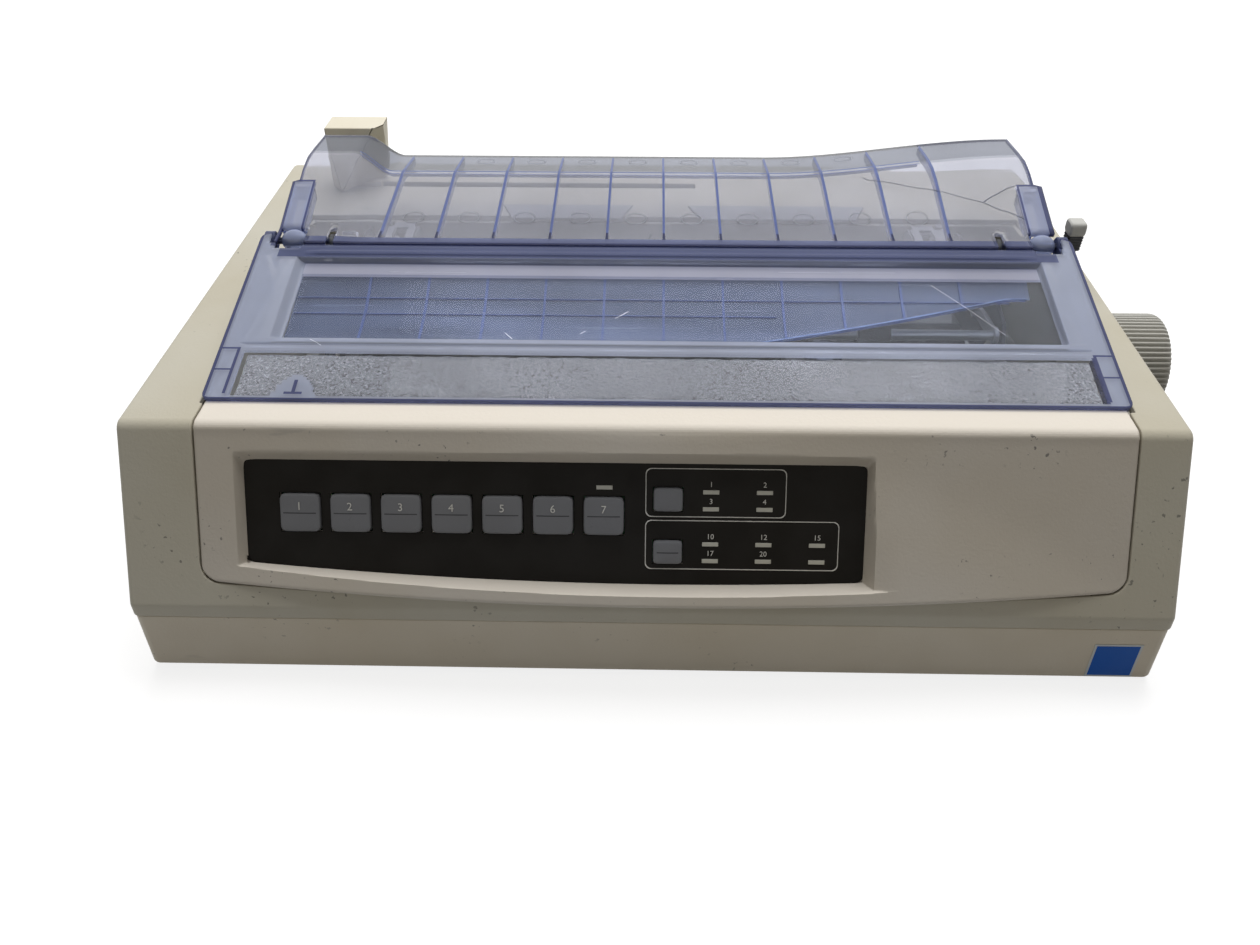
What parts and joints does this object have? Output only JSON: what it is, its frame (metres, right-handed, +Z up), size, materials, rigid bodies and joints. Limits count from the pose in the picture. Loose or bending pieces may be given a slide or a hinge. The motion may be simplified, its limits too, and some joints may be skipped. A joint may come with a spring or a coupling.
{
  "type": "dot matrix printer",
  "caption": "Desktop impact printer with a sloping keyed front, a hinged see-through access cover, a hinged ribbed paper separator and a side platen knob.",
  "frame": {"origin": "centre of the bounding box at the level the feet stand on", "axes": "+X along the platen towards the knob, +Y from the keyed front to the rear, +Z up"},
  "size_m": [0.422, 0.3496, 0.1357],
  "materials": {
    "case_plastic": "matte",
    "panel_black": "satin",
    "indicator_grey": "satin",
    "label_blue": "satin",
    "plated_steel": "satin",
    "bushing_plastic": "matte",
    "bright_steel": "gloss",
    "motor_black": "satin",
    "light_grey_plastic": "matte",
    "dark_grey_plastic": "matte",
    "board_green": "satin",
    "core_steel": "matte",
    "socket_black": "satin",
    "rubber": "matte",
    "belt_rubber": "matte",
    "smoked_blue": "gloss",
    "foam_grey": "matte",
    "guide_plastic": "matte",
    "knob_grey": "matte",
    "gear_nylon": "matte",
    "brass": "satin",
    "ribbon_blue": "satin",
    "key_grey": "matte"
  },
  "bodies": {
    "case": {"lower_case": "case_plastic", "upper_case": "case_plastic", "front_fascia": "case_plastic", "panel_overlay": "panel_black", "indicator_lights": "indicator_grey", "info_label": "label_blue", "chassis": "plated_steel", "shaft_bushings": "bushing_plastic", "carriage_shaft": "bright_steel", "spacing_motor": "motor_black", "feed_motor": "motor_black", "paper_chute": "light_grey_plastic", "tractor_rod": "bright_steel", "hinge_pins": "bright_steel", "sheet_supports": "light_grey_plastic", "main_board": "board_green", "panel_board": "board_green", "transformer": "core_steel", "power_inlet": "socket_black", "data_port": "plated_steel", "rubber_feet": "rubber", "case_screws": "plated_steel", "timing_belt": "belt_rubber"},
    "cover": {"access_cover": "smoked_blue", "cover_foam": "foam_grey"},
    "rear_separator": {"separator": "smoked_blue"},
    "guide": {"sheet_guide": "guide_plastic"},
    "platen": {"platen_roller": "rubber", "platen_shaft": "bright_steel", "platen_knob": "knob_grey", "platen_gear": "gear_nylon"},
    "feed_idler": {"feed_idler_gear": "gear_nylon"},
    "pinion": {"motor_pinion": "brass"},
    "head_carriage": {"carriage": "dark_grey_plastic", "printhead": "motor_black", "ribbon_cartridge": "dark_grey_plastic"},
    "ribbon_winder": {"ribbon_knob": "ribbon_blue"},
    "pulley_left": {"motor_pulley": "brass"},
    "pulley_right": {"idler_pulley": "brass"},
    "bail": {"paper_bail": "plated_steel"},
    "bail_wheels": {"bail_rollers": "rubber"},
    "lever": {"paper_lever": "knob_grey"},
    "switch": {"power_rocker": "socket_black"},
    "tractor_drive": {"tractor_shaft": "bright_steel"},
    "tractor_link": {"tractor_idler_gear": "gear_nylon"},
    "left_tractor": {"tractor_left": "light_grey_plastic"},
    "right_tractor": {"tractor_right": "light_grey_plastic"},
    "left_sprocket": {"sprocket_left": "light_grey_plastic"},
    "right_sprocket": {"sprocket_right": "light_grey_plastic"},
    "left_flap": {"tractor_flap_left": "light_grey_plastic"},
    "right_flap": {"tractor_flap_right": "light_grey_plastic"},
    "button_1": {"key_1": "key_grey"},
    "button_2": {"key_2": "key_grey"},
    "button_3": {"key_3": "key_grey"},
    "button_4": {"key_4": "key_grey"},
    "button_5": {"key_5": "key_grey"},
    "button_6": {"key_6": "key_grey"},
    "button_7": {"key_7": "key_grey"},
    "button_8": {"key_8": "key_grey"},
    "button_9": {"key_9": "key_grey"}
  },
  "joints": [
    {"name": "cover_lift", "type": "hinge", "parent": "case", "child": "cover", "pos_m": [-0.007, -0.02452, 0.11704], "axis": [-1, 0, 0], "range_deg": [0, 85]},
    {"name": "separator_lift", "type": "hinge", "parent": "case", "child": "rear_separator", "pos_m": [-0.007, -0.02452, 0.11704], "axis": [1, 0, 0], "range_deg": [0, 35]},
    {"name": "guide_slide", "type": "slide", "parent": "case", "child": "guide", "axis": [1, 0, 0], "range_m": [0, 0.16]},
    {"name": "platen_turn", "type": "hinge", "parent": "case", "child": "platen", "pos_m": [-0.007, -0.04622, 0.072], "axis": [1, 0, 0], "continuous": true},
    {"name": "feed_idler_turn", "type": "hinge", "parent": "case", "child": "feed_idler", "pos_m": [-0.158, -0.02669, 0.04521], "axis": [1, 0, 0], "continuous": true},
    {"name": "pinion_turn", "type": "hinge", "parent": "case", "child": "pinion", "pos_m": [-0.158, -0.00522, 0.038], "axis": [1, 0, 0], "continuous": true},
    {"name": "tractor_link_turn", "type": "hinge", "parent": "case", "child": "tractor_link", "pos_m": [-0.158, -0.01609, 0.08911], "axis": [1, 0, 0], "continuous": true},
    {"name": "tractor_drive_turn", "type": "hinge", "parent": "case", "child": "tractor_drive", "pos_m": [-0.007, 0.01378, 0.085], "axis": [1, 0, 0], "continuous": true},
    {"name": "carriage_travel", "type": "slide", "parent": "case", "child": "head_carriage", "axis": [1, 0, 0], "range_m": [-0.2, 0.01]},
    {"name": "pulley_left_turn", "type": "hinge", "parent": "case", "child": "pulley_left", "pos_m": [-0.132, -0.10822, 0.055], "axis": [0, 0, 1], "range_deg": [-100, 1700]},
    {"name": "pulley_right_turn", "type": "hinge", "parent": "case", "child": "pulley_right", "pos_m": [0.123, -0.10822, 0.055], "axis": [0, 0, 1], "range_deg": [-100, 1700]},
    {"name": "ribbon_knob_turn", "type": "hinge", "parent": "head_carriage", "child": "ribbon_winder", "pos_m": [0.058, -0.08122, 0.095], "axis": [0, 0, 1], "continuous": true},
    {"name": "bail_lift", "type": "hinge", "parent": "case", "child": "bail", "pos_m": [-0.007, -0.02422, 0.087], "axis": [-1, 0, 0], "range_deg": [0, 20]},
    {"name": "bail_rollers_turn", "type": "hinge", "parent": "bail", "child": "bail_wheels", "pos_m": [-0.007, -0.05692, 0.09053], "axis": [1, 0, 0], "continuous": true},
    {"name": "paper_lever_swing", "type": "hinge", "parent": "case", "child": "lever", "pos_m": [0.1752, -0.01222, 0.065], "axis": [-1, 0, 0], "range_deg": [0, 15]},
    {"name": "switch_rock", "type": "hinge", "parent": "case", "child": "switch", "pos_m": [0.148, 0.17028, 0.0455], "axis": [-1, 0, 0], "range_deg": [0, 16]},
    {"name": "left_tractor_slide", "type": "slide", "parent": "case", "child": "left_tractor", "axis": [1, 0, 0], "range_m": [0, 0.1]},
    {"name": "right_tractor_slide", "type": "slide", "parent": "case", "child": "right_tractor", "axis": [1, 0, 0], "range_m": [-0.1, 0]},
    {"name": "left_sprocket_turn", "type": "hinge", "parent": "left_tractor", "child": "left_sprocket", "pos_m": [-0.134, 0.01378, 0.085], "axis": [1, 0, 0], "continuous": true},
    {"name": "left_flap_lift", "type": "hinge", "parent": "left_tractor", "child": "left_flap", "pos_m": [-0.143, 0.01378, 0.099], "axis": [0, -1, 0], "range_deg": [0, 45]},
    {"name": "right_sprocket_turn", "type": "hinge", "parent": "right_tractor", "child": "right_sprocket", "pos_m": [0.12, 0.01378, 0.085], "axis": [1, 0, 0], "continuous": true},
    {"name": "right_flap_lift", "type": "hinge", "parent": "right_tractor", "child": "right_flap", "pos_m": [0.129, 0.01378, 0.099], "axis": [0, 1, 0], "range_deg": [0, 45]},
    {"name": "button_1_press", "type": "slide", "parent": "case", "child": "button_1", "axis": [0, 0.887, -0.4617], "range_m": [0, 0.001], "stiffness_N_per_m": 300},
    {"name": "button_2_press", "type": "slide", "parent": "case", "child": "button_2", "axis": [0, 0.887, -0.4617], "range_m": [0, 0.001], "stiffness_N_per_m": 300},
    {"name": "button_3_press", "type": "slide", "parent": "case", "child": "button_3", "axis": [0, 0.887, -0.4617], "range_m": [0, 0.001], "stiffness_N_per_m": 300},
    {"name": "button_4_press", "type": "slide", "parent": "case", "child": "button_4", "axis": [0, 0.887, -0.4617], "range_m": [0, 0.001], "stiffness_N_per_m": 300},
    {"name": "button_5_press", "type": "slide", "parent": "case", "child": "button_5", "axis": [0, 0.887, -0.4617], "range_m": [0, 0.001], "stiffness_N_per_m": 300},
    {"name": "button_6_press", "type": "slide", "parent": "case", "child": "button_6", "axis": [0, 0.887, -0.4617], "range_m": [0, 0.001], "stiffness_N_per_m": 300},
    {"name": "button_7_press", "type": "slide", "parent": "case", "child": "button_7", "axis": [0, 0.887, -0.4617], "range_m": [0, 0.001], "stiffness_N_per_m": 300},
    {"name": "button_8_press", "type": "slide", "parent": "case", "child": "button_8", "axis": [0, 0.887, -0.4617], "range_m": [0, 0.001], "stiffness_N_per_m": 300},
    {"name": "button_9_press", "type": "slide", "parent": "case", "child": "button_9", "axis": [0, 0.887, -0.4617], "range_m": [0, 0.001], "stiffness_N_per_m": 300}
  ],
  "couplings": [
    {"joint": "feed_idler_turn", "follows": "platen_turn", "ratio": -1.4444},
    {"joint": "pinion_turn", "follows": "platen_turn", "ratio": 2.1667},
    {"joint": "tractor_link_turn", "follows": "platen_turn", "ratio": -1.3},
    {"joint": "tractor_drive_turn", "follows": "platen_turn", "ratio": 1.3},
    {"joint": "left_sprocket_turn", "follows": "platen_turn", "ratio": 1.3},
    {"joint": "right_sprocket_turn", "follows": "platen_turn", "ratio": 1.3},
    {"joint": "bail_rollers_turn", "follows": "platen_turn", "ratio": -3.2},
    {"joint": "pulley_left_turn", "follows": "carriage_travel", "rad_per_m": -133.33},
    {"joint": "pulley_right_turn", "follows": "carriage_travel", "rad_per_m": -133.33}
  ]
}
